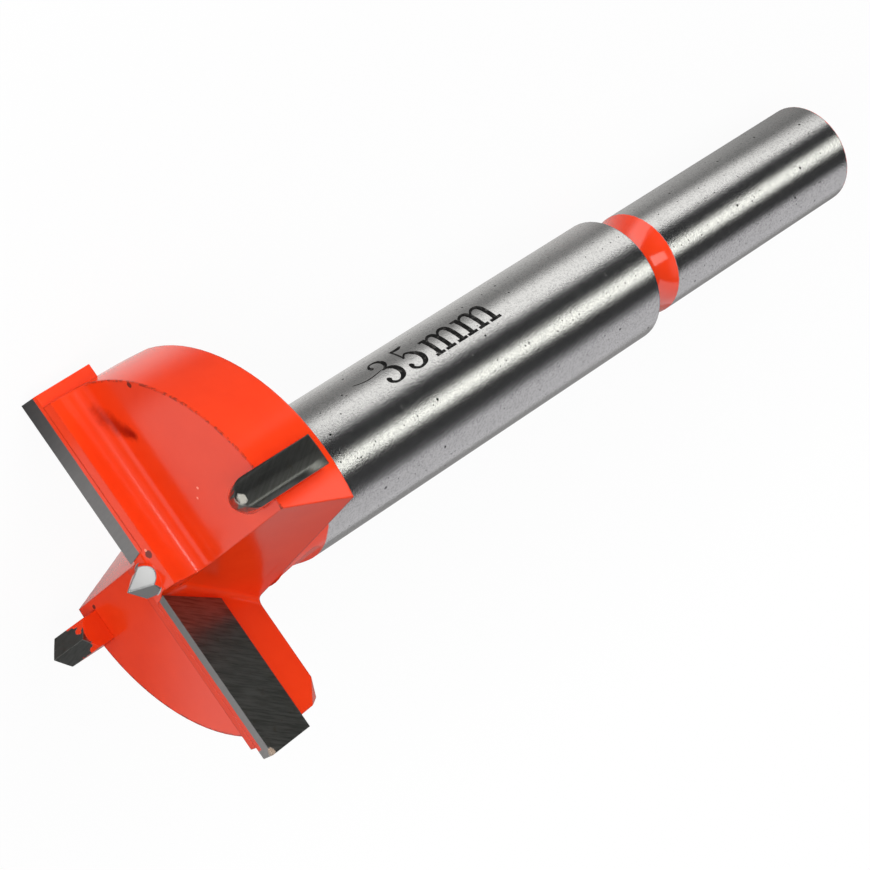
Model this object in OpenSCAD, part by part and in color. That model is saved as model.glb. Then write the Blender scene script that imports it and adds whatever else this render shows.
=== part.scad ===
// Hinge-boring forstner bit: milled steel head on a stepped round shank, with brazed cutter plates and spurs.
// Built with its point up along Z and the cutting edges at height 0, then laid down as it rests on a table.
// All lengths in mm, all angles in degrees.

/* [Head] */
// Diameter that the cutter plates bore
cut_d = 35; // [30:0.5:40]
// Set-back of the steel head inside the bored radius
steel_gap = 1.2; // [0.4:0.1:2]
// Depth of the head's front face behind the cutting edges
front_depth = 3.4; // [2.6:0.1:4.5]
// Depth of the head's rear face behind the cutting edges
head_back = 10.2; // [9:0.1:14]
// Half width of the web between the two chip gullets, at the front face
web_half = 1.9; // [1.6:0.1:2.6]
// Lean of the web's wall from the bit's axis, ahead of the front face
web_lean = 6.5; // [0:0.5:10]
// Lean of a gullet's trailing wall from the bit's axis, behind the front face
gullet_lean = 18.4; // [10:0.2:25]
// Turn of the trailing wall from front face to rear face
gullet_toe = 5.9; // [0:0.1:9]
// Fillet at the bottom of a gullet
gullet_fillet = 0.8; // [0.3:0.1:1.5]
// Set-back of the steel gullet wall behind a plate's cutting face
wall_recess = 0.5; // [0.1:0.05:0.8]
// Width of the steel rib that backs a plate
rib_w = 1.1; // [0.8:0.1:2]
// Straight height of the rib's rear wall
rib_wall = 0.9; // [0.5:0.1:1.2]
// Length of the bevel on the rear outer corner of a gullet wall
corner_cut = 1.9; // [0.5:0.1:2.4]

/* [Cutter plates] */
// Lead of each cutting edge ahead of the diameter line
edge_lead = 0.64; // [0.3:0.02:1]
// Rake angle of the cutting face
rake = 18; // [8:0.5:25]
// Relief angle behind the cutting edge
relief = 10; // [5:0.5:15]
// Clearance angle of a plate's outer end
end_clear = 4; // [1:0.5:8]
// Plate thickness
plate_t = 1.75; // [1.2:0.05:2.4]
// Plate length along its cutting face
plate_len = 6.25; // [5:0.05:7.5]
// Distance from the axis to a plate's inner end, at its front edge
plate_in_front = 1.75; // [1.6:0.05:3]
// Distance from the axis to a plate's inner end, at its rear edge
plate_in_rear = 4.5; // [3.5:0.1:6]

/* [Spurs] */
// Spur width round the rim
spur_w = 2.85; // [1.8:0.05:3.5]
// Sideways offset of a spur from the head's middle line
spur_off = 0.43; // [0:0.01:1.2]
// Set-back of a spur's outer face inside the bored radius
spur_gap = 0.1; // [0.05:0.05:0.4]
// Spur thickness towards the axis
spur_t = 3.25; // [2.4:0.05:4]
// Height of a spur's tip ahead of the cutting edges
spur_tip = 0.8; // [0.3:0.02:1.5]
// Depth of a spur's rear end behind the cutting edges
spur_back = 8.85; // [7:0.05:9.6]
// Offset of a spur's ridge from the spur's middle
spur_ridge = 0.1; // [0:0.05:0.4]
// Slope of the two sides of a spur's tip
spur_gable = 36; // [20:1:45]
// Slope of a spur's tip towards the axis
spur_bevel = 25; // [10:1:40]

/* [Centre point] */
// Height of the point ahead of the cutting edges
point_h = 2.25; // [1.5:0.05:3]
// Diameter of the core that the point is ground on
point_d = 2.9; // [2.4:0.1:3.4]
// Angle of each ground facet from the axis
point_half = 30.5; // [25:0.5:40]
// Turn of the facets from the cutter line
point_turn = 60; // [0:5:90]
// Depth to which the round core reaches behind the cutting edges
point_root = 5; // [4:0.5:7]

/* [Shank] */
// Diameter of the thick shank
shank_d = 12; // [10:0.1:14]
// Depth of the thick shank's end behind the cutting edges
shank_back = 60.8; // [50:0.1:70]
// Edge break at the end of the thick shank
shank_break = 0.35; // [0.1:0.05:0.8]
// Width of the neck groove
neck_w = 3.8; // [2:0.1:6]
// Depth of the neck groove below the tail
neck_depth = 0.3; // [0.1:0.05:0.6]
// Diameter of the tail that the chuck grips
tail_d = 10; // [8:0.1:11.5]
// Depth of the tail's end behind the cutting edges
tail_back = 91.8; // [80:0.1:110]
// Edge break at the tail's end
tail_break = 0.35; // [0.1:0.05:0.8]

/* [Fit] */
// Space left for braze round a plate or spur
braze_gap = 0; // [0:0.01:0.1]

/* [Hidden] */
far = 24;
top_drop = 0.15;
cut_r = cut_d / 2;
steel_r = cut_r - steel_gap;
spur_r = cut_r - spur_gap;
spur_in = spur_r - spur_t;
plate_back = plate_t / cos(rake) - edge_lead;
rib_back = plate_back + rib_w;
rib_top = -(rib_back + edge_lead) * tan(relief);
rib_foot = rib_top - rib_wall;
rib_fillet = front_depth + rib_foot;
wall_y = edge_lead - wall_recess / cos(rake);
head_len = head_back - front_depth;
toe_rate = tan(gullet_toe) / head_len;
neck_r = tail_d / 2 - neck_depth;
neck_arc = (neck_w * neck_w / 4 + neck_depth * neck_depth) / (2 * neck_depth);

// Resting points of the bit as it lies with one gullet down: a cutter's tip, the rear outer corner of the
// wing across the gullet, and the end of the tail. They give the turn and the pitch of its axis.
corner_x = wall_x(sqrt(pow(steel_r, 2) - pow(web_half + head_len * tan(gullet_lean), 2)), -head_back);
rest_corner = [corner_x, sqrt(pow(steel_r, 2) - pow(corner_x, 2)), -head_back];
rest_tip = [sqrt(pow(cut_r, 2) - pow(edge_lead, 2)), edge_lead, 0];
down = down_on(tail_low(down_on(tail_low(down_on(tail_low([1, 1]))))));
rest_turn = atan2(down[1], -down[0]);
pitch = asin(-down[2]);
lift = down * rest_corner;
head_x = point_h * cos(pitch);
tail_x = tail_back * cos(pitch) + (tail_d / 2 - tail_break) * sin(pitch);
mid_x = (head_x - tail_x) / 2;

steel_tint = [0.62, 0.63, 0.62];
carbide_tint = [0.2, 0.2, 0.19];

// Lowest point of the tail's end when the direction v points down.
function tail_low(v) =
  let (across = [v[0], v[1]] / norm([v[0], v[1]]))
  [across[0] * tail_d / 2, across[1] * tail_d / 2, tail_break - tail_back];
// Downward direction square to the plane through the two head points and the tail's point.
function down_on(tail) =
  let (c = cross(rest_tip - rest_corner, tail - rest_corner))
  c / norm(c) * sign(c * rest_corner);

// Lays the upright bit down on its resting points.
module at_rest() {
  translate([mid_x, 0, lift])
    rotate([0, pitch - 90, 0])
      rotate([0, 0, rest_turn])
        children();
}

// Repeats a feature on the opposite wing.
module both() {
  children();
  rotate([0, 0, 180]) children();
}

// Position of the trailing wall, from the axis, at width y and height h.
function wall_x(y, h) =
  let (rise = h + front_depth)
  web_half - rise * (rise > 0 ? tan(web_lean) : tan(gullet_lean) + toe_rate * (steel_r - y));
// Position of the gullet's cutting-side wall at height h.
function face_y(h) = wall_y + h * tan(rake);
// Corner where the two walls of a gullet meet at height h.
function corner(h) = [wall_x(face_y(h), h), face_y(h)];
// Point at share t round the fillet of that corner.
function bend(h, t) =
  let (c = corner(h),
       a = [wall_x(c[1] + gullet_fillet, h), c[1] + gullet_fillet],
       b = [c[0] + gullet_fillet, c[1]])
  (1 - t) * (1 - t) * a + 2 * t * (1 - t) * c + t * t * b;
// Outline of a gullet at height h, with even steps along its trailing wall.
function gullet_ring(h) =
  let (start = face_y(h) + gullet_fillet)
  [
    for (i = [0 : 7])
      let (y = far + (start - far) * i / 8)
      [wall_x(y, h), y, h],
    for (i = [0 : 5]) [bend(h, i / 5)[0], bend(h, i / 5)[1], h],
    [far, face_y(h), h],
    [far, far, h]
  ];

// Chip gullet ahead of cutter A, with a trailing wall that turns as it goes back.
module gullet() {
  low = -head_back - 2;
  steps = 8;
  levels = [0.3, for (k = [0 : steps]) -front_depth + (low + front_depth) * k / steps];
  n = len(gullet_ring(0));
  points = [for (h = levels) each gullet_ring(h)];
  sides = [
    for (k = [0 : steps], i = [0 : n - 1])
      let (j = (i + 1) % n)
      each [[k * n + i, (k + 1) * n + j, (k + 1) * n + i], [k * n + i, k * n + j, (k + 1) * n + j]]
  ];
  cap_top = [for (i = [0 : n - 1]) n - 1 - i];
  cap_low = [for (i = [0 : n - 1]) (steps + 1) * n + i];
  polyhedron(points, concat([cap_top], sides, [cap_low]));
}

// Space ahead of one wing's front face, with the fillet up to the rib behind the plate.
module front_space() {
  rotate([90, 0, 90])
    linear_extrude(2 * far, center = true)
      difference() {
        polygon([
          [-plate_back + 0.2, 4],
          [-plate_back + 0.2, -(plate_back - 0.2 + edge_lead) * tan(relief)],
          [-rib_back, rib_top],
          [-rib_back, -front_depth],
          [-far, -front_depth],
          [-far, 4]
        ]);
        difference() {
          translate([-rib_back - rib_fillet, -front_depth]) square(rib_fillet);
          translate([-rib_back - rib_fillet, -front_depth + rib_fillet]) circle(rib_fillet, $fn = 96);
        }
      }
}

// Bevel on the rear outer corner of a gullet wall.
module corner_space() {
  y = face_y(-head_back);
  x = sqrt(steel_r * steel_r - y * y);
  translate([x - corner_cut, y, -head_back])
    rotate([0, 0, 56])
      rotate([0, 40, 0])
        translate([0, -4, -4])
          cube([4, 8, 8]);
}

// One cutter plate, lying against its seat; grow widens it all round for the seat.
module plate_blank(grow) {
  translate([0, edge_lead, 0])
    rotate([-rake, 0, 0])
      rotate([90, 0, 0])
        linear_extrude(plate_t + grow)
          polygon([
            [plate_in_front - grow - (plate_in_rear - plate_in_front) * 2 / plate_len, 2],
            [far, 2],
            [far, -plate_len - grow],
            [plate_in_rear - grow, -plate_len - grow]
          ]);
}

// Cutter plate with its relief and its cleared outer end.
module plate() {
  difference() {
    plate_blank(0);
    translate([0, edge_lead, 0])
      rotate([relief, 0, 0])
        translate([-far, -far, 0])
          cube([3 * far, 2 * far, far]);
    translate([sqrt(cut_r * cut_r - edge_lead * edge_lead), edge_lead, 0])
      rotate([0, 0, -end_clear])
        translate([0, -far, -far])
          cube([far, 2 * far, 2 * far]);
  }
}

// Straight bar of a spur; grow widens it all round for its slot.
module spur_blank(grow) {
  translate([spur_off - spur_w / 2 - grow, -far, -spur_back - grow])
    cube([spur_w + 2 * grow, far - spur_in + grow, spur_back + spur_tip + 2 * grow]);
}

// Scoring spur with a pointed tip that slopes towards the axis.
module spur() {
  intersection() {
    spur_blank(0);
    translate([0, 0, -far]) cylinder(r = spur_r, h = 2 * far, $fn = 180);
    translate([spur_off + spur_ridge, -spur_r, spur_tip])
      rotate([-spur_bevel, 0, 0])
        for (side = [0 : 1]) {
          mirror([side, 0, 0])
            rotate([0, spur_gable, 0])
              translate([0, -far, -2 * far]) cube([far, 3 * far, 2 * far]);
        }
  }
}

// Faceted centre point, ground on the round core of the web.
module centre_point() {
  reach = point_h + point_root;
  intersection() {
    translate([0, 0, -point_root]) cylinder(d = point_d, h = reach, $fn = 96);
    translate([0, 0, -point_root])
      rotate([0, 0, point_turn])
        cylinder(r1 = reach * tan(point_half) * sqrt(2), r2 = 0, h = reach, $fn = 4);
  }
}

// Stepped round shank with its neck groove.
module shank() {
  rotate_extrude($fn = 180)
    difference() {
      polygon([
        [0, -head_back + 1],
        [shank_d / 2, -head_back + 1],
        [shank_d / 2, -shank_back + shank_break],
        [shank_d / 2 - shank_break, -shank_back],
        [tail_d / 2, -shank_back],
        [tail_d / 2, -tail_back + tail_break],
        [tail_d / 2 - tail_break, -tail_back],
        [0, -tail_back]
      ]);
      intersection() {
        translate([neck_r + neck_arc, -shank_back - neck_w / 2]) circle(neck_arc, $fn = 180);
        translate([neck_r - 1, -shank_back - neck_w]) square([far, neck_w]);
      }
    }
}

// Turned and milled one-piece steel body.
module body() {
  color(steel_tint)
    at_rest()
      difference() {
        union() {
          difference() {
            translate([0, 0, -head_back])
              cylinder(r = steel_r, h = head_back - top_drop, $fn = 180);
            both() front_space();
            both() gullet();
            both() corner_space();
          }
          centre_point();
          shank();
        }
        both() plate_blank(braze_gap);
        both() spur_blank(braze_gap);
      }
}

// Cutter plate on the first wing.
module cutter_a() {
  color(carbide_tint) at_rest() plate();
}

// Cutter plate on the second wing.
module cutter_b() {
  color(carbide_tint) at_rest() rotate([0, 0, 180]) plate();
}

// Scoring spur on the first wing.
module spur_a() {
  color(carbide_tint) at_rest() spur();
}

// Scoring spur on the second wing.
module spur_b() {
  color(carbide_tint) at_rest() rotate([0, 0, 180]) spur();
}

body();
cutter_a();
cutter_b();
spur_a();
spur_b();
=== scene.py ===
import math

import bpy
import bmesh
import numpy as np
from mathutils import Matrix, Vector


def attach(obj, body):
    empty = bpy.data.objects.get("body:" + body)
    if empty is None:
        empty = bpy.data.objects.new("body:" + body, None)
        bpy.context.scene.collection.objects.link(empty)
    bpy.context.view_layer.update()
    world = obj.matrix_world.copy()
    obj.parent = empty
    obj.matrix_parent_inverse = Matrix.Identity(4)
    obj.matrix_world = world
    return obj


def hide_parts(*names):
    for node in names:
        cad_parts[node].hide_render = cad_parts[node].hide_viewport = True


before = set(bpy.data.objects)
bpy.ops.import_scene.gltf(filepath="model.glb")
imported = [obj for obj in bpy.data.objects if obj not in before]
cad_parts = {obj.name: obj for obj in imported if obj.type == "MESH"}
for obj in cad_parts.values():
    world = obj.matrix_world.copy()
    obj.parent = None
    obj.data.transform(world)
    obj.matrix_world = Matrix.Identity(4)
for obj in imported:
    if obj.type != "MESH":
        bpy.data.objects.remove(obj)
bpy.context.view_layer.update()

MM = 0.001


def tan_deg(angle):
    return math.tan(math.radians(angle))


# The bit's own frame, in millimetres: origin on the axis at the cutting edges, x along cutter A, z towards
# the point. The pose on the table is the one that the part's source works out.
PITCH = math.radians(5.68376)
REST_TURN = math.radians(141.593088)
ORIGIN = Vector((-44.78513, 0.0, 14.03242)) * MM
TURN = Matrix.Rotation(PITCH - math.pi / 2, 3, "Y") @ Matrix.Rotation(REST_TURN, 3, "Z")
TO_WORLD = Matrix.Translation(ORIGIN) @ TURN.to_4x4() @ Matrix.Scale(MM, 4)
TO_BIT = TO_WORLD.inverted()

# Sizes from the part's source, in millimetres and degrees
SHANK_R = 6.0
STEEL_R = 16.3
WEB_HALF = 1.9
FRONT_DEPTH = 3.4
HEAD_BACK = 10.2
HEAD_LEN = HEAD_BACK - FRONT_DEPTH
EDGE_LEAD = 0.64
RAKE = 18
RELIEF = 10
GULLET_LEAN = 18.4
GULLET_TOE = 5.9
GULLET_FILLET = 0.8
WALL_Y = 0.114
POINT_H = 2.25
POINT_HALF = 30.5
POINT_TURN = 60

# Half the width of the cut where a gullet runs out into the shank
RUN_OUT_HALF = 4.0

# Places along the axis where paint starts or ends
HEAD_PAINT_END = -15.3
NECK_PAINT_MID = -62.72
NECK_PAINT_HALF = 1.92
TAIL_PAINT_START = -91.41

# Rounding of edges, in metres: bevels in the meshes, then radii in the shading
PLATE_BEVEL = 0.03 * MM
SPUR_BEVEL = 0.05 * MM
WORN_TIP = 0.75 * MM
CRISP_EDGE = 0.06 * MM
WORN_EDGE = 0.2 * MM
PAINTED_EDGE = 0.22 * MM

# How far the worn tip of spur A and its ridge reach below the cutting edges, in millimetres, and the flat on
# the ridge that its rounding takes up, in metres
TIP_HEIGHT = 2.2
RIDGE_HEIGHT = 0.6
RIDGE_FLAT = 0.12 * MM

# Limits for cleaning up the meshes, in degrees between faces and in metres
HARD_EDGE = 26
SHARP_SHADING = 14
FLAT_ANGLE = 0.4
SAME_POINT = 2e-6
NO_LENGTH = 1e-6


def srgb(r, g, b):
    """Linear colour from the 0 to 255 values of a screen."""
    def linear(c):
        return c / 12.92 if c <= 0.04045 else ((c + 0.055) / 1.055) ** 2.4

    return (linear(r / 255), linear(g / 255), linear(b / 255), 1.0)


# Colours in linear values
PAINT_THIN = (0.76, 0.034, 0.004, 1)
PAINT_THICK = (0.86, 0.050, 0.008, 1)
# painted shade of a shallow dent on wing A's front face
PAINT_DENT_SHADE = srgb(140, 12, 3)
PAINT_WORN = srgb(110, 40, 24)
# dark paint chips, and a painted shade in a gullet corner
PAINT_CHIP_AND_SHADE = srgb(60, 22, 14)
# pale specks, and a painted highlight
PAINT_SPECK_AND_GLINT = srgb(255, 150, 125)
STEEL_DULL = (0.60, 0.602, 0.594, 1)
STEEL_CLEAN = (0.68, 0.682, 0.674, 1)
STEEL_GRAIN = (0.27, 0.27, 0.275, 1)
STEEL_PIT = (0.06, 0.06, 0.06, 1)
CARBIDE_DARK = (0.165, 0.170, 0.158, 1)
CARBIDE_LIGHT = (0.30, 0.303, 0.29, 1)
CARBIDE_STAIN = (0.17, 0.150, 0.115, 1)
RELIEF_DARK = (0.265, 0.262, 0.262, 1)
RELIEF_LIGHT = (0.34, 0.333, 0.337, 1)
BRAZE = (0.40, 0.30, 0.22, 1)
# painted highlight on spur A's worn tip
TIP_HIGHLIGHT = (0.40, 0.385, 0.335, 1)
MARK_BLACK = (0.005, 0.005, 0.005, 1)
MARK_WORN = (0.075, 0.074, 0.070, 1)
FLOOR_GREY = (0.82, 0.82, 0.83, 1)
WHITE = (1, 1, 1, 1)
SHEET_WHITE = (1.0, 0.985, 0.965, 1)
ROOM_DARK = (0.05, 0.05, 0.052, 1)
ROOM_PALE = (0.95, 0.95, 0.96, 1)

PAINT_ROUGH = 0.15


class Nodes:
    """Short calls for building a node tree."""

    def __init__(self, tree):
        self.tree = tree
        tree.nodes.clear()

    def new(self, kind, **props):
        node = self.tree.nodes.new(kind)
        for key, value in props.items():
            setattr(node, key, value)
        return node

    def put(self, socket, value):
        """Link another node's output to a socket, or set the socket's own value."""
        if isinstance(value, bpy.types.NodeSocket):
            self.tree.links.new(value, socket)
        else:
            socket.default_value = value

    def fill(self, node, *values):
        """Put values into the first sockets of a node."""
        for socket, value in zip(node.inputs, values):
            self.put(socket, value)
        return node

    def math(self, op, *values):
        return self.fill(self.new("ShaderNodeMath", operation=op), *values).outputs[0]

    def add(self, a, b):
        return self.math("ADD", a, b)

    def sub(self, a, b):
        return self.math("SUBTRACT", a, b)

    def mul(self, a, b):
        return self.math("MULTIPLY", a, b)

    def max(self, a, b):
        return self.math("MAXIMUM", a, b)

    def abs(self, a):
        return self.math("ABSOLUTE", a)

    def sign(self, a):
        return self.math("SIGN", a)

    def inv(self, a):
        return self.sub(1.0, a)

    def length(self, a, b):
        return self.math("SQRT", self.add(self.mul(a, a), self.mul(b, b)))

    def step(self, x, lo, hi, a=0.0, b=1.0):
        """Smooth change from a, where x is lo, to b, where x is hi."""
        node = self.new("ShaderNodeMapRange", interpolation_type="SMOOTHSTEP")
        return self.fill(node, x, lo, hi, a, b).outputs[0]

    def noise(self, vec, scale, detail=2.0, rough=0.5):
        node = self.new("ShaderNodeTexNoise")
        self.put(node.inputs["Vector"], vec)
        self.put(node.inputs["Scale"], scale)
        self.put(node.inputs["Detail"], detail)
        self.put(node.inputs["Roughness"], rough)
        return node.outputs[0]

    def waver(self, vec, scale, detail, rough):
        """Noise about zero."""
        return self.sub(self.noise(vec, scale, detail, rough), 0.5)

    def cells(self, vec, scale):
        node = self.new("ShaderNodeTexVoronoi")
        self.put(node.inputs["Vector"], vec)
        self.put(node.inputs["Scale"], scale)
        return node.outputs

    def distance(self, vec, place):
        return self.fill(self.new("ShaderNodeVectorMath", operation="DISTANCE"), vec, place).outputs["Value"]

    def mix(self, fac, a, b):
        """Blend of two colours."""
        node = self.new("ShaderNodeMix", data_type="RGBA")
        self.put(node.inputs[0], fac)
        self.put(node.inputs[6], a)
        self.put(node.inputs[7], b)
        return node.outputs[2]

    def lerp(self, fac, a, b):
        """Blend of two numbers."""
        node = self.new("ShaderNodeMix", data_type="FLOAT")
        self.put(node.inputs[0], fac)
        self.put(node.inputs[2], a)
        self.put(node.inputs[3], b)
        return node.outputs[0]

    def xyz(self, vec):
        return self.fill(self.new("ShaderNodeSeparateXYZ"), vec).outputs

    def vec(self, x, y, z):
        return self.fill(self.new("ShaderNodeCombineXYZ"), x, y, z).outputs[0]

    def mapping(self, vec, loc=(0, 0, 0), rot=(0, 0, 0), scale=(1, 1, 1), kind="POINT"):
        node = self.new("ShaderNodeMapping", vector_type=kind)
        self.put(node.inputs["Vector"], vec)
        self.put(node.inputs["Location"], loc)
        self.put(node.inputs["Rotation"], rot)
        self.put(node.inputs["Scale"], scale)
        return node.outputs[0]

    def bump(self, height, strength, distance, normal):
        node = self.new("ShaderNodeBump")
        self.put(node.inputs["Height"], height)
        self.put(node.inputs["Strength"], strength)
        self.put(node.inputs["Distance"], distance)
        self.put(node.inputs["Normal"], normal)
        return node.outputs[0]

    def soft_edges(self, radius):
        node = self.new("ShaderNodeBevel", samples=4)
        self.put(node.inputs["Radius"], radius)
        return node.outputs[0]

    def object_place(self):
        return self.new("ShaderNodeTexCoord").outputs["Object"]

    def bit_place(self):
        """Position in the bit's own frame, in millimetres."""
        return self.mapping(self.object_place(), ORIGIN, TURN.to_euler("XYZ"), (MM, MM, MM), "TEXTURE")

    def emission(self, color, strength):
        return self.fill(self.new("ShaderNodeEmission"), color, strength).outputs[0]

    def mix_shader(self, fac, a, b):
        return self.fill(self.new("ShaderNodeMixShader"), fac, a, b).outputs[0]

    def surface(self, shader, kind="ShaderNodeOutputMaterial"):
        self.put(self.new(kind).inputs["Surface"], shader)

    def principled(self, color, metal, rough, **others):
        node = self.new("ShaderNodeBsdfPrincipled")
        self.put(node.inputs["Base Color"], color)
        self.put(node.inputs["Metallic"], metal)
        self.put(node.inputs["Roughness"], rough)
        for key, value in others.items():
            self.put(node.inputs[key.replace("_", " ")], value)
        self.surface(node.outputs[0])


def material(name):
    m = bpy.data.materials.new(name)
    m.use_nodes = True
    return m, Nodes(m.node_tree)


def paint_color(n, p):
    """Red paint with slow patches of thickness."""
    return n.mix(n.noise(p, 0.22, 3, 0.6), PAINT_THIN, PAINT_THICK)


def spots(n, p, marks):
    """Mask of small ragged spots, each a place in the bit's frame and a radius."""
    rag = n.mul(n.waver(p, 3.5, 2, 0.6), 0.5)
    mask = 0.0
    for place, size in marks:
        dist = n.add(n.distance(p, place), n.mul(rag, size * 1.6))
        mask = n.max(mask, n.step(dist, size, size * 0.75))
    return mask


def painted_shade_line(n, p, marks, per=4):
    """Mask of a painted shade along a line of places in the bit's frame, each with a radius and a strength.
    """
    rag = n.waver(p, 1.6, 3, 0.6)
    mask = 0.0
    for (place, size, strength), (next_place, next_size, next_strength) in zip(marks, marks[1:]):
        for k in range(per):
            t = k / per
            at = Vector(place).lerp(Vector(next_place), t)
            wide = size + (next_size - size) * t
            full = strength + (next_strength - strength) * t
            dist = n.add(n.distance(p, at), n.mul(rag, wide * 0.9))
            mask = n.max(mask, n.step(dist, wide, 0.0, 0.0, full))
    return mask


def body_paint(n, p):
    """Masks of all paint on the body and of the neck groove's alone."""
    x, y, h = n.xyz(p)
    rag = n.waver(p, 0.35, 2, 0.5)
    fine = n.waver(p, 3.0, 3, 0.6)
    head_edge = n.add(h, n.add(n.mul(rag, 0.9), n.mul(fine, 0.1)))
    head = n.step(head_edge, HEAD_PAINT_END - 0.1, HEAD_PAINT_END + 0.1)
    neck_edge = n.abs(n.add(n.sub(h, NECK_PAINT_MID), n.mul(fine, 0.2)))
    neck = n.step(neck_edge, NECK_PAINT_HALF + 0.06, NECK_PAINT_HALF - 0.06)
    tail_edge = n.add(h, n.mul(fine, 0.3))
    tail = n.step(tail_edge, TAIL_PAINT_START + 0.05, TAIL_PAINT_START - 0.05)

    # the point's four facets are ground bare, each midway between two of its edges
    facet_turn = math.radians(POINT_TURN - 45)
    u, v, _ = n.xyz(n.mapping(p, rot=(0, 0, -facet_turn)))
    facet = n.sub(n.max(n.abs(u), n.abs(v)), n.mul(n.sub(POINT_H, h), tan_deg(POINT_HALF)))
    on_core = n.mul(n.step(n.length(x, y), 1.56, 1.48), n.step(h, -0.55, -0.4))
    ground = n.mul(n.step(facet, -0.05, -0.02), on_core)
    paint = n.mul(n.max(head, n.max(neck, tail)), n.inv(ground))
    return paint, neck


def red_paint(n, p):
    """The head's paint with a painted shade of a dent, a worn rim, dark chips, a painted shade in a gullet
    corner, pale specks and a painted highlight.
    """
    x, y, h = n.xyz(p)
    front = -FRONT_DEPTH
    # dark paint chips; the last place, in the corner of a gullet, is a painted shade
    chips_and_corner_shade = spots(n, p, [((13.41, -8.72, front), 0.28), ((10.97, -12.63, front), 0.26),
                         ((1.26, 14.01, front), 0.24), ((1.57, -1.74, -0.4), 0.40),
                         ((-2.05, 0.0, -2.5), 0.34)])
    # painted shade of a shallow dent on wing A's front face, darker towards its lower end
    dent_shade = painted_shade_line(n, p, [((13.8, -3.2, -3.1), 0.7, 0.4), ((12.4, -3.7, -3.25), 1.1, 0.7),
                             ((11.2, -4.3, front), 1.1, 0.8), ((10.4, -5.0, front), 0.9, 1.0),
                             ((10.0, -5.35, front), 0.7, 1.0)])
    # pale specks on the front face; the last place, beside the pit at the rib's inner end, is a painted
    # highlight
    pale_specks_and_glint = spots(n, p, [((3.53, -8.41, front), 0.13), ((2.91, -7.62, front), 0.12),
                          ((1.99, -1.72, -0.35), 0.16)])
    at_rim = n.mul(n.step(n.length(x, y), STEEL_R - 0.22, STEEL_R - 0.1),
                   n.step(n.abs(n.add(h, FRONT_DEPTH + 0.05)), 0.16, 0.08))
    worn = n.mul(at_rim, n.step(n.noise(p, 1.7, 4, 0.7), 0.44, 0.60))
    red = n.mix(dent_shade, paint_color(n, p), PAINT_DENT_SHADE)
    red = n.mix(n.mul(worn, 0.7), red, PAINT_WORN)
    red = n.mix(n.mul(chips_and_corner_shade, 0.85), red, PAINT_CHIP_AND_SHADE)
    return n.mix(pale_specks_and_glint, red, PAINT_SPECK_AND_GLINT)


def body_material():
    """Bare ground steel with faint stains, sandy grain and a few pits, under the paint where there is any."""
    m, n = material("body_painted_steel")
    p = n.bit_place()
    x, y, h = n.xyz(p)
    paint, neck = body_paint(n, p)
    shank = n.step(h, -14.0, -15.0)

    round_ground = n.vec(n.mul(h, 9.0), n.mul(n.math("ARCTAN2", y, x), 2.0), n.length(x, y))
    lines = n.noise(round_ground, 1.0, 3, 0.65)
    grain = n.noise(p, 6.0, 4, 0.7)
    sand = n.xyz(n.cells(p, 7.5)["Color"])[2]
    large = n.cells(n.mapping(p, loc=(3.1, 1.7, 0.4)), 0.85)
    large_few = n.step(n.xyz(large["Color"])[0], 0.70, 0.72)
    large_pit = n.mul(n.step(large["Distance"], 0.12, 0.06), large_few)
    small = n.cells(n.mapping(p, loc=(0.6, 2.3, 1.9)), 2.0)
    small_few = n.step(n.xyz(small["Color"])[1], 0.74, 0.76)
    small_pit = n.mul(n.step(small["Distance"], 0.17, 0.08), small_few)
    pit = n.mul(n.max(large_pit, n.mul(small_pit, 0.8)), shank)

    steel = n.mix(n.noise(p, 0.35, 4, 0.6), STEEL_DULL, STEEL_CLEAN)
    speck = n.max(n.mul(n.step(grain, 0.45, 0.70), 0.22), n.mul(n.step(sand, 0.5, 1.0), 0.32))
    steel = n.mix(n.mul(speck, shank), steel, STEEL_GRAIN)
    steel = n.mix(pit, steel, STEEL_PIT)
    color = n.mix(paint, steel, red_paint(n, p))
    rough = n.lerp(paint, n.add(0.09, n.mul(grain, 0.13)), PAINT_ROUGH)

    steel_height = n.mul(n.sub(n.add(n.mul(lines, 0.15), grain), n.mul(pit, 1.2)), shank)
    paint_height = n.mul(n.noise(p, 1.1, 2, 0.5), 0.4)
    height = n.lerp(paint, steel_height, paint_height)
    normal = n.bump(height, 0.9, 0.015 * MM, n.soft_edges(PAINTED_EDGE))
    n.principled(color, n.inv(paint), rough, Normal=normal, Specular_IOR_Level=0.5,
                 Coat_Weight=n.mul(neck, 0.3), Coat_IOR=2.4, Coat_Roughness=0.06)
    return m


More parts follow.
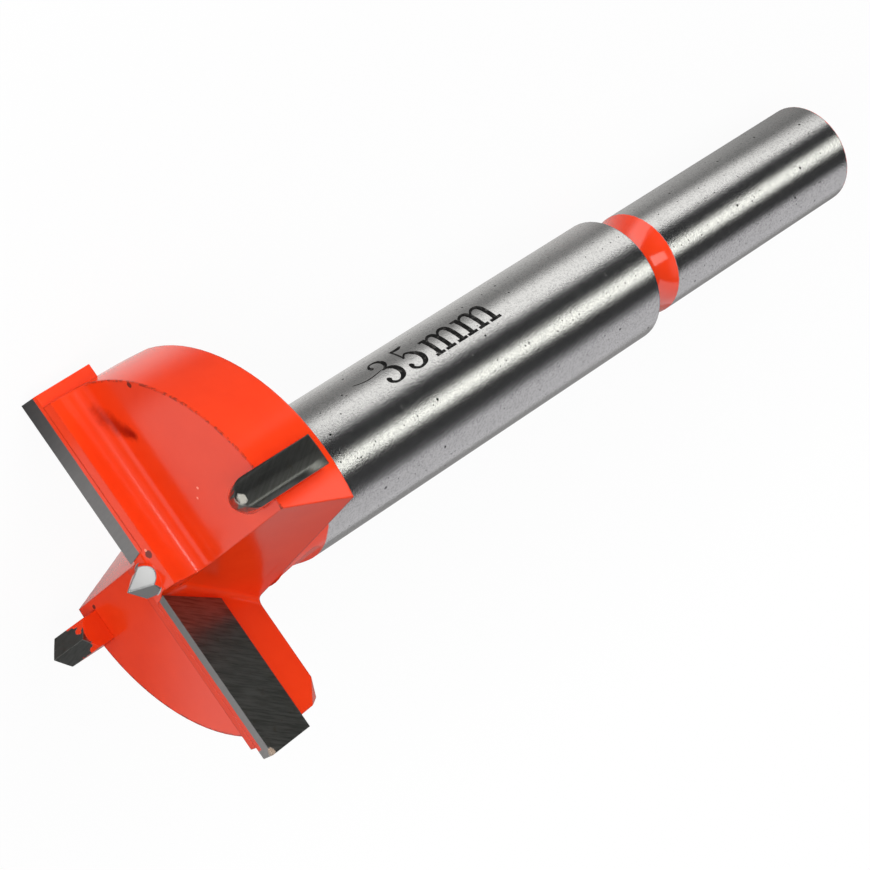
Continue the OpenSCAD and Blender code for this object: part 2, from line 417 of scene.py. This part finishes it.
def carbide_material(name, painted, edge, plate, mark_or_highlight=None, mark_or_highlight_color=None):
    """Ground carbide, with red paint where painted(n, p) says so and at most one pale spot: plate B's braze
    mark, spur A's painted highlight.
    """
    m, n = material(name)
    p = n.bit_place()
    x, y, h = n.xyz(p)
    wide = n.abs(x) if plate else x
    contrast = (0.3, 0.7) if plate else (0.0, 1.0)
    along = n.sub(n.mul(h, 0.865), n.mul(wide, 0.5))
    over = n.add(n.mul(h, 0.5), n.mul(wide, 0.865))
    grind = n.noise(n.vec(n.mul(over, 5.0), n.mul(along, 0.3), y), 1.0, 3, 0.6)
    grain = n.noise(p, 6.0, 2, 0.6)
    stain = n.step(n.noise(p, 1.3, 4, 0.65), 0.58, 0.72, 0, 0.5)
    bare = n.mix(n.step(grind, *contrast), CARBIDE_DARK, CARBIDE_LIGHT)
    bare = n.mix(stain, bare, CARBIDE_STAIN)
    rough = n.add(0.26, n.mul(grain, 0.10))
    if plate:
        behind = n.sub(EDGE_LEAD, n.mul(y, n.sign(x)))
        relief = n.step(n.add(h, n.mul(behind, tan_deg(RELIEF))), -0.09, -0.03)
        bare = n.mix(relief, bare, n.mix(grind, RELIEF_DARK, RELIEF_LIGHT))
        rough = n.lerp(relief, rough, 0.48)
    paint = painted(n, p)
    color = n.mix(paint, bare, paint_color(n, p))
    rough = n.lerp(paint, rough, PAINT_ROUGH)
    metal = n.inv(paint)
    # one pale spot: a real braze mark on plate B, a painted highlight on spur A's tip
    if mark_or_highlight:
        pale = n.mul(spots(n, p, [mark_or_highlight]), 0.9)
        color = n.mix(pale, color, mark_or_highlight_color)
        rough = n.lerp(pale, rough, 0.5)
        metal = n.mul(metal, n.inv(pale))
    height = n.lerp(paint, n.add(grind, n.mul(grain, 0.5)), n.mul(n.noise(p, 1.1, 2), 0.5))
    normal = n.bump(height, 0.4, 0.01 * MM, n.soft_edges(edge))
    n.principled(color, metal, rough, Normal=normal, Specular_IOR_Level=0.5)
    return m


def plate_paint(n, p):
    """Paint on a cutter plate's foot and rear, but not on its rake face or on plate B's proud end."""
    x, y, h = n.xyz(p)
    side = n.sign(x)
    v = n.mul(y, side)
    rag = n.waver(p, 1.5, 4, 0.65)
    before_edge = n.sub(n.sub(v, EDGE_LEAD), n.mul(h, tan_deg(RAKE)))
    off_face = n.step(n.mul(before_edge, math.cos(math.radians(RAKE))), -0.03, -0.06)
    foot = n.step(n.add(h, n.mul(rag, 0.7)), -1.55, -1.65)
    behind = n.add(n.sub(EDGE_LEAD, v), n.mul(rag, 0.08))
    rear = n.step(n.sub(behind, n.mul(side, 0.17)), 1.36, 1.42)
    not_proud = n.step(x, -16.7, -16.5)
    return n.mul(off_face, n.max(foot, n.mul(rear, not_proud)))


def plate_b_paint(n, p):
    """Plate B has lost its paint between the foot and the relief."""
    h = n.xyz(p)[2]
    kept = n.max(n.step(h, -4.2, -4.4), n.step(h, -0.9, -0.8))
    return n.mul(plate_paint(n, p), kept)


def spur_paint(n, p):
    """Paint on a spur behind its ground outer side and below its tip."""
    x, y, h = n.xyz(p)
    rag = n.waver(p, 1.5, 2, 0.5)
    inside = n.step(n.add(n.length(x, y), n.mul(rag, 0.1)), 17.34, 17.28)
    return n.mul(inside, n.step(n.add(h, n.mul(rag, 1.4)), -1.1, -1.2))


def gullet_wall(y, h):
    """Place along x of the gullet's trailing wall, as in the part's source, and 0.02 mm clear of it."""
    at_front = WEB_HALF + 0.02
    lean = tan_deg(GULLET_LEAN) + tan_deg(GULLET_TOE) / HEAD_LEN * (STEEL_R - y)
    return at_front - (h + FRONT_DEPTH) * lean


def shank_corner(h):
    """Outline at one height of the corner that the shank's end leaves in the gullet."""
    beyond = 8.0
    top = 3.6
    root = WALL_Y + h * tan_deg(RAKE) + GULLET_FILLET
    floor = root - 0.55
    wall = gullet_wall(root, h)
    return [(gullet_wall(top, h), top, h), (wall, root, h), (wall + 0.3, floor, h), (beyond, floor, h),
            (beyond, top, h)]


def run_out(y):
    """Outline, seen along y, of the shallow cut where the gullet runs out into the shank."""
    beyond = 8.0
    start = -HEAD_BACK - 0.04
    end = -15.4
    profile = [(5.82, start), (5.36, -13.6), (5.44, -14.2), (5.64, -14.8), (6.1, end), (beyond, end),
               (beyond, start)]
    return [(x, y, h) for x, h in profile]


def add_block(bm, spin, low, high):
    """A closed block between two outlines in the bit's frame, turned round the axis."""
    rings = [[bm.verts.new(TO_WORLD @ (spin @ Vector(q))) for q in ring] for ring in (low, high)]
    bm.faces.new(rings[0][::-1])
    bm.faces.new(rings[1])
    for i in range(len(low)):
        j = (i + 1) % len(low)
        bm.faces.new((rings[0][i], rings[0][j], rings[1][j], rings[1][i]))


def milled(mesh):
    """A copy of the body's mesh with the gullets cut clear of the shank's end and run out into the shank."""
    bm = bmesh.new()
    for turn in (0.0, math.pi):
        spin = Matrix.Rotation(turn, 3, "Z")
        add_block(bm, spin, shank_corner(-HEAD_BACK - 0.02), shank_corner(-HEAD_BACK + 1.2))
        add_block(bm, spin, run_out(-RUN_OUT_HALF), run_out(RUN_OUT_HALF))
    bmesh.ops.recalc_face_normals(bm, faces=bm.faces)
    tool = bpy.data.objects.new("mill", bpy.data.meshes.new("mill"))
    bm.to_mesh(tool.data)
    bm.free()
    work = bpy.data.objects.new("milled", mesh.copy())
    for o in (tool, work):
        bpy.context.scene.collection.objects.link(o)
    cut = work.modifiers.new("cut", "BOOLEAN")
    cut.operation = "DIFFERENCE"
    cut.solver = "EXACT"
    cut.object = tool
    out = bpy.data.meshes.new_from_object(work.evaluated_get(bpy.context.evaluated_depsgraph_get()))
    for o in (tool, work):
        data = o.data
        bpy.data.objects.remove(o)
        bpy.data.meshes.remove(data)
    return out


def is_hard(edge, limit):
    return len(edge.link_faces) == 2 and edge.calc_face_angle(0) > math.radians(limit)


def rounded_edges(bm, edges, offset, segments, clamp):
    """Round some edges and give the new faces."""
    done = bmesh.ops.bevel(bm, geom=edges, offset=offset, offset_type="OFFSET", segments=segments,
                           profile=0.5, affect="EDGES", clamp_overlap=clamp, loop_slide=True)
    return done["faces"]


def tip_edges(bm):
    """Hard edges that run across the top of spur A."""
    found = []
    for e in bm.edges:
        a, b = (TO_BIT @ v.co for v in e.verts)
        at_tip = min(a.z, b.z) > -TIP_HEIGHT
        across = abs((a - b).normalized().y) > 0.6
        if is_hard(e, HARD_EDGE) and at_tip and across:
            found.append(e)
    return found


def dress(node, mat, width=0.0, tip=0.0):
    """A finished copy of a CAD node: its edges rounded as the real piece's are, its curves shaded smooth."""
    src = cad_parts[node]
    bm = bmesh.new()
    bm.from_mesh(milled(src.data) if node == "body" else src.data)
    bmesh.ops.remove_doubles(bm, verts=bm.verts, dist=SAME_POINT)
    bmesh.ops.dissolve_limit(bm, angle_limit=math.radians(FLAT_ANGLE), verts=bm.verts, edges=bm.edges)
    rounded = set()
    if tip:
        ridge = [v for v in bm.verts if (TO_BIT @ v.co).z > -RIDGE_HEIGHT]
        bmesh.ops.remove_doubles(bm, verts=ridge, dist=RIDGE_FLAT)
        rounded.update(rounded_edges(bm, tip_edges(bm), tip, segments=6, clamp=False))
    if width:
        edges = [e for e in bm.edges if is_hard(e, HARD_EDGE)]
        rounded.update(rounded_edges(bm, edges, width, segments=3, clamp=True))
    bmesh.ops.dissolve_degenerate(bm, dist=NO_LENGTH, edges=bm.edges)
    rounded = {f for f in rounded if f.is_valid}
    for f in bm.faces:
        f.smooth = True
    for e in bm.edges:
        e.smooth = bool(rounded.intersection(e.link_faces)) or not is_hard(e, SHARP_SHADING)
    bmesh.ops.triangulate(bm, faces=[f for f in bm.faces if len(f.verts) > 4])
    mesh = bpy.data.meshes.new(node + "_finished")
    bm.to_mesh(mesh)
    bm.free()
    mesh.materials.append(mat)
    o = bpy.data.objects.new(node + "_finished", mesh)
    bpy.context.scene.collection.objects.link(o)
    even = o.modifiers.new("even_shading", "WEIGHTED_NORMAL")
    even.keep_sharp = True
    even.weight = 100
    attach(o, "root")
    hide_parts(node)


def dress_all():
    end_chip = ((-17.25, -0.6, -0.1), 0.5)
    # a painted highlight on spur A's worn tip
    tip_highlight = ((0.35, -17.2, 0.1), 0.55)
    dress("body", body_material())
    plate_a = carbide_material("plate_a", plate_paint, CRISP_EDGE, plate=True)
    dress("cutter_a", plate_a, PLATE_BEVEL)
    plate_b = carbide_material("plate_b", plate_b_paint, CRISP_EDGE, plate=True, mark_or_highlight=end_chip,
                               mark_or_highlight_color=BRAZE)
    dress("cutter_b", plate_b, PLATE_BEVEL)
    spur_a = carbide_material("spur_a", spur_paint, WORN_EDGE, plate=False, mark_or_highlight=tip_highlight,
                              mark_or_highlight_color=TIP_HIGHLIGHT)
    dress("spur_a", spur_a, tip=WORN_TIP)
    spur_b = carbide_material("spur_b", spur_paint, CRISP_EDGE, plate=False)
    dress("spur_b", spur_b, SPUR_BEVEL)


def smooth(points, per=6):
    """Catmull-Rom curve through (u, v, half width) points."""
    pts = [np.array(q, float) for q in points]
    ext = [2 * pts[0] - pts[1]] + pts + [2 * pts[-1] - pts[-2]]
    out = []
    for a, b, c, d in zip(ext, ext[1:], ext[2:], ext[3:]):
        for k in range(per):
            t = k / per
            curve = (c - a) * t + (2 * a - 5 * b + 4 * c - d) * t ** 2 + (3 * b - a - 3 * c + d) * t ** 3
            out.append(0.5 * (2 * b + curve))
    return out + [pts[-1]]


def straight(a, b, width, step=0.2):
    """Straight stroke of one half width from a to b."""
    start = np.array(a, float)
    way = np.array(b, float) - start
    count = max(2, int(np.linalg.norm(way) / step) + 1)
    return [np.append(start + way * i / count, width) for i in range(count + 1)]


def letter_m(feet):
    """Slab-serif m from the two ends of each of its three feet."""
    thick = 0.26
    mids = [(a + b) / 2 for a, b in feet]
    lines = []
    for (a, b), c in zip(feet, mids):
        lines.append(straight((a, 0.15), (b, 0.15), 0.15))
        lines.append(straight((c, 0.1), (c, 2.0), thick))
    lines.append(straight((mids[0], 1.9), (mids[0], 2.42), thick))
    lines.append(straight((feet[0][0], 2.30), (mids[0], 2.30), 0.13))
    for a, b in zip(mids, mids[1:]):
        w = b - a
        lines.append(smooth([(a + 0.12, 1.75, 0.08), (a + 0.3 * w, 2.2, 0.12), (a + 0.62 * w, 2.43, 0.17),
                             (a + 0.9 * w, 2.30, 0.24), (b, 1.9, thick)]))
    return lines


def figures():
    """The two figures of the size, 3 and 5, each from its own left edge."""
    waist = (0.75, 1.92, 0.07)
    bowl = [(1.78, 1.58, 0.25), (1.98, 1.0, 0.30), (1.76, 0.40, 0.26), (1.18, 0.08, 0.13),
            (0.6, 0.10, 0.13), (0.22, 0.42, 0.19), (0.28, 0.72, 0.26), (0.34, 0.86, 0.10)]
    top = [(0.42, 2.62, 0.10), (0.34, 2.78, 0.23), (0.30, 3.02, 0.15), (0.60, 3.36, 0.09), (1.05, 3.44, 0.10),
           (1.52, 3.25, 0.18), (1.70, 2.78, 0.23), (1.5, 2.25, 0.17), (1.0, 1.95, 0.08), waist]
    three = [smooth(top), smooth([waist, (1.25, 1.90, 0.12)] + bowl)]
    flag = [(0.48, 3.38, 0.10), (0.9, 3.30, 0.17), (1.4, 3.30, 0.17), (1.85, 3.45, 0.08)]
    shoulder = [(0.44, 1.74, 0.08), (0.8, 2.08, 0.09), (1.2, 2.13, 0.12)]
    five = [smooth(flag), straight((0.52, 3.4), (0.44, 1.72), 0.09), smooth(shoulder + bowl)]
    return three, five


def mark_strokes():
    """All strokes of the mark: u along the shank from the cutting edges, v round it, and half the width."""
    three, five = figures()
    lines = []
    for figure, left in ((three, 28.2), (five, 31.1)):
        for line in figure:
            lines.append([q + np.array([left, 0, 0]) for q in line])
    lines += letter_m([(34.09, 35.20), (35.42, 36.63), (36.97, 38.16)])
    lines += letter_m([(38.32, 39.53), (39.81, 41.07), (41.33, 42.69)])
    lead_in = [(25.44, 2.2, 0.02), (26.3, 1.92, 0.04), (27.41, 1.82, 0.045), (28.91, 2.0, 0.03)]
    lines.append(smooth(lead_in))
    return lines


def add_stroke(bm, line):
    """A thin raised stroke bent round the shank."""
    top_r = SHANK_R + 0.008
    root_r = SHANK_R - 0.03
    foot_line = -7.1
    rows = []
    for i, (u, v, w) in enumerate(line):
        way = (line[min(i + 1, len(line) - 1)] - line[max(i - 1, 0)])[:2]
        way /= np.linalg.norm(way)
        row = []
        for side, r in ((w, top_r), (-w, top_r), (-w, root_r), (w, root_r)):
            arc = (v + side * way[0] + foot_line) / SHANK_R
            along = u - side * way[1]
            row.append(bm.verts.new(TO_WORLD @ Vector((r * math.cos(arc), r * math.sin(arc), -along))))
        rows.append(row)
    for a, b in zip(rows, rows[1:]):
        for k in range(4):
            bm.faces.new((a[k], a[(k + 1) % 4], b[(k + 1) % 4], b[k]))
    bm.faces.new(rows[0])
    bm.faces.new(rows[-1][::-1])


def mark_material():
    m, n = material("mark_black")
    p = n.bit_place()
    worn = n.step(n.noise(p, 2.6, 4, 0.65), 0.50, 0.72)
    rough = n.add(0.5, n.mul(n.noise(p, 9.0), 0.2))
    n.principled(n.mix(worn, MARK_BLACK, MARK_WORN), 0.0, rough, Specular_IOR_Level=0.12)
    return m


def size_mark():
    """The size, 35 mm, marked along the shank in dark slab-serif figures."""
    bm = bmesh.new()
    for line in mark_strokes():
        add_stroke(bm, line)
    bmesh.ops.recalc_face_normals(bm, faces=bm.faces)
    mesh = bpy.data.meshes.new("size_mark")
    bm.to_mesh(mesh)
    bm.free()
    mesh.materials.append(mark_material())
    o = bpy.data.objects.new("size_mark", mesh)
    bpy.context.scene.collection.objects.link(o)
    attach(o, "root")


def sheet_strength(n, x, y):
    """How bright the floor is in the bit's gloss: dim close by, as a painted shadow of the bit, and bright
    further off. Places are in mm.
    """
    # beside the shank
    reach = n.mul(y, n.add(1.035, n.mul(x, 0.0118)))
    beside = n.add(n.step(reach, 14.0, 30.0, 0.22, 1.25), n.mul(n.step(y, 12.0, 1.0), 0.56))
    # beside the head
    at_head = n.step(n.sub(x, n.mul(y, 0.76)), -31.0, -43.0)
    beside = n.lerp(at_head, beside, n.step(y, 22.0, 14.0, 0.12, 0.9))
    beside = n.mul(beside, n.step(y, -5.0, -20.0, 1.0, 0.36))
    # before the head
    slant = n.add(n.mul(x, -0.859), n.mul(y, 0.512))
    near = n.mul(n.step(slant, 43.5, 48.0, 0.12, 1.0), n.step(y, 4.0, 0.0, 0.15, 1.0))
    far_side = n.step(x, -53.0, -66.0, 0.2, 1.2)
    before = n.lerp(n.step(y, -17.0, -24.0), near, far_side)
    # painted dark in a widening strip from the tail on
    off_tail = n.step(n.sub(n.abs(y), n.mul(n.sub(x, 30.0), 0.45)), -20.0, 20.0)
    return n.mul(n.lerp(n.step(x, -40.0, -46.0), beside, before), n.lerp(off_tail, 0.08, 1.0))


def floor_material():
    """Pale floor that keeps the bit's shadow, white to the camera and a sheet of light to gloss, with a
    painted shadow of the bit in that sheet.
    """
    m, n = material("floor")
    fx, fy, _ = n.xyz(n.object_place())
    x = n.mul(fx, 1 / MM)
    y = n.mul(fy, 1 / MM)
    ray = n.new("ShaderNodeLightPath").outputs
    matt = n.fill(n.new("ShaderNodeBsdfDiffuse"), FLOOR_GREY).outputs[0]
    sheet = n.emission(SHEET_WHITE, sheet_strength(n, x, y))
    lit = n.mix_shader(n.mul(ray["Is Glossy Ray"], 0.9), matt, sheet)
    shown = n.max(ray["Is Camera Ray"], ray["Is Transmission Ray"])
    from_bit = n.length(y, n.mul(x, 0.5))
    share = n.mul(shown, n.step(from_bit, 25.0, 75.0, 0.94, 1.0))
    n.surface(n.mix_shader(share, lit, n.emission(WHITE, 1.0)))
    return m


def make_floor():
    radius = 8.0
    drop = 0.0002
    mesh = bpy.data.meshes.new("floor")
    bm = bmesh.new()
    bmesh.ops.create_circle(bm, cap_ends=True, segments=96, radius=radius)
    bm.to_mesh(mesh)
    bm.free()
    mesh.materials.append(floor_material())
    floor = bpy.data.objects.new("floor", mesh)
    bpy.context.scene.collection.objects.link(floor)
    floor.location.z = -drop


def make_world():
    """A dim room with a pale low side, a faint far side and a pale ceiling."""
    world = bpy.data.worlds.new("studio")
    bpy.context.scene.world = world
    world.use_nodes = True
    n = Nodes(world.node_tree)
    x, y, z = n.xyz(n.new("ShaderNodeTexCoord").outputs["Generated"])
    low = n.mul(n.step(z, 0.10, -0.10), n.step(n.sub(y, n.mul(x, 0.55)), -0.05, 0.25))
    far = n.mul(n.step(y, -0.70, -0.92), 0.22)
    ceiling = n.mul(n.step(n.sub(z, n.mul(x, 0.35)), 0.60, 0.90), 0.6)
    glow = n.max(n.max(low, far), ceiling)
    room = n.mix(glow, ROOM_DARK, ROOM_PALE)
    background = n.fill(n.new("ShaderNodeBackground"), room, 1.0)
    n.surface(background.outputs[0], "ShaderNodeOutputWorld")


def softbox(name, direction, dist, size, power, along, glossy=True, tint=(1.0, 1.0, 1.0)):
    """A rectangular lamp, aimed at the bit from a direction and a distance, with its width along one way."""
    aim = Vector((0.0, 0.0, 0.012))
    light = bpy.data.lights.new(name, "AREA")
    light.shape = "RECTANGLE"
    light.size, light.size_y = size
    light.energy = power
    light.color = tint
    o = bpy.data.objects.new(name, light)
    o.visible_glossy = glossy
    bpy.context.scene.collection.objects.link(o)
    z = Vector(direction).normalized()
    x = Vector(along)
    x = (x - z * x.dot(z)).normalized()
    turn = Matrix((x, z.cross(x), z)).transposed()
    o.matrix_world = Matrix.Translation(aim + z * dist) @ turn.to_4x4()


def make_lights():
    axis = (0.995, 0.0, -0.099)
    across = (0, 1, 0)
    level = (1, 0, 0)
    warm = (1.0, 1.0, 0.94)
    cool = (0.99, 0.97, 1.0)
    softbox("strip_box", (0.690, 0.417, 0.589), 0.60, (0.36, 0.170), 0.305, axis, tint=warm)
    softbox("side_panel", (0.670, -0.635, 0.385), 0.60, (0.40, 0.54), 0.405, axis, tint=cool)
    softbox("low_box", (-0.33, 0.92, 0.19), 0.60, (0.19, 0.19), 0.19, level)
    softbox("key_box", (-0.70, 0.53, 0.48), 0.60, (0.05, 0.05), 0.095, axis)
    softbox("front_fill", (-0.75, 0.35, 0.55), 0.70, (0.60, 0.60), 2.65, across, glossy=False)
    softbox("over_fill", (-0.10, 0.30, 0.95), 0.70, (0.60, 0.60), 0.9, across, glossy=False)
    softbox("flank_fill", (0.15, 0.92, 0.37), 0.70, (0.50, 0.40), 2.5, level, glossy=False)


def make_camera():
    """The camera that was fitted to the photograph, with its place and directions in the bit's frame."""
    sensor = 36.0
    focal_px = 3500
    photo_px = 870
    place = Vector((-12.6965, -236.8595, 158.0631))
    right = Vector((-0.570263, -0.502054, -0.650186))
    up = Vector((0.820847, -0.378893, -0.427376))
    ahead = Vector((0.031785, 0.77742, -0.628178))
    camera = bpy.data.cameras.new("camera")
    camera.sensor_width = sensor
    camera.lens = sensor * focal_px / photo_px
    camera.clip_start = 0.01
    camera.clip_end = 20.0
    o = bpy.data.objects.new("camera", camera)
    bpy.context.scene.collection.objects.link(o)
    turn = Matrix((TURN @ right, TURN @ up, -(TURN @ ahead))).transposed()
    o.matrix_world = Matrix.Translation(TO_WORLD @ place) @ turn.to_4x4()
    bpy.context.scene.camera = o
    bpy.context.scene.view_settings.view_transform = "Standard"


dress_all()
size_mark()
make_floor()
make_world()
make_lights()
make_camera()
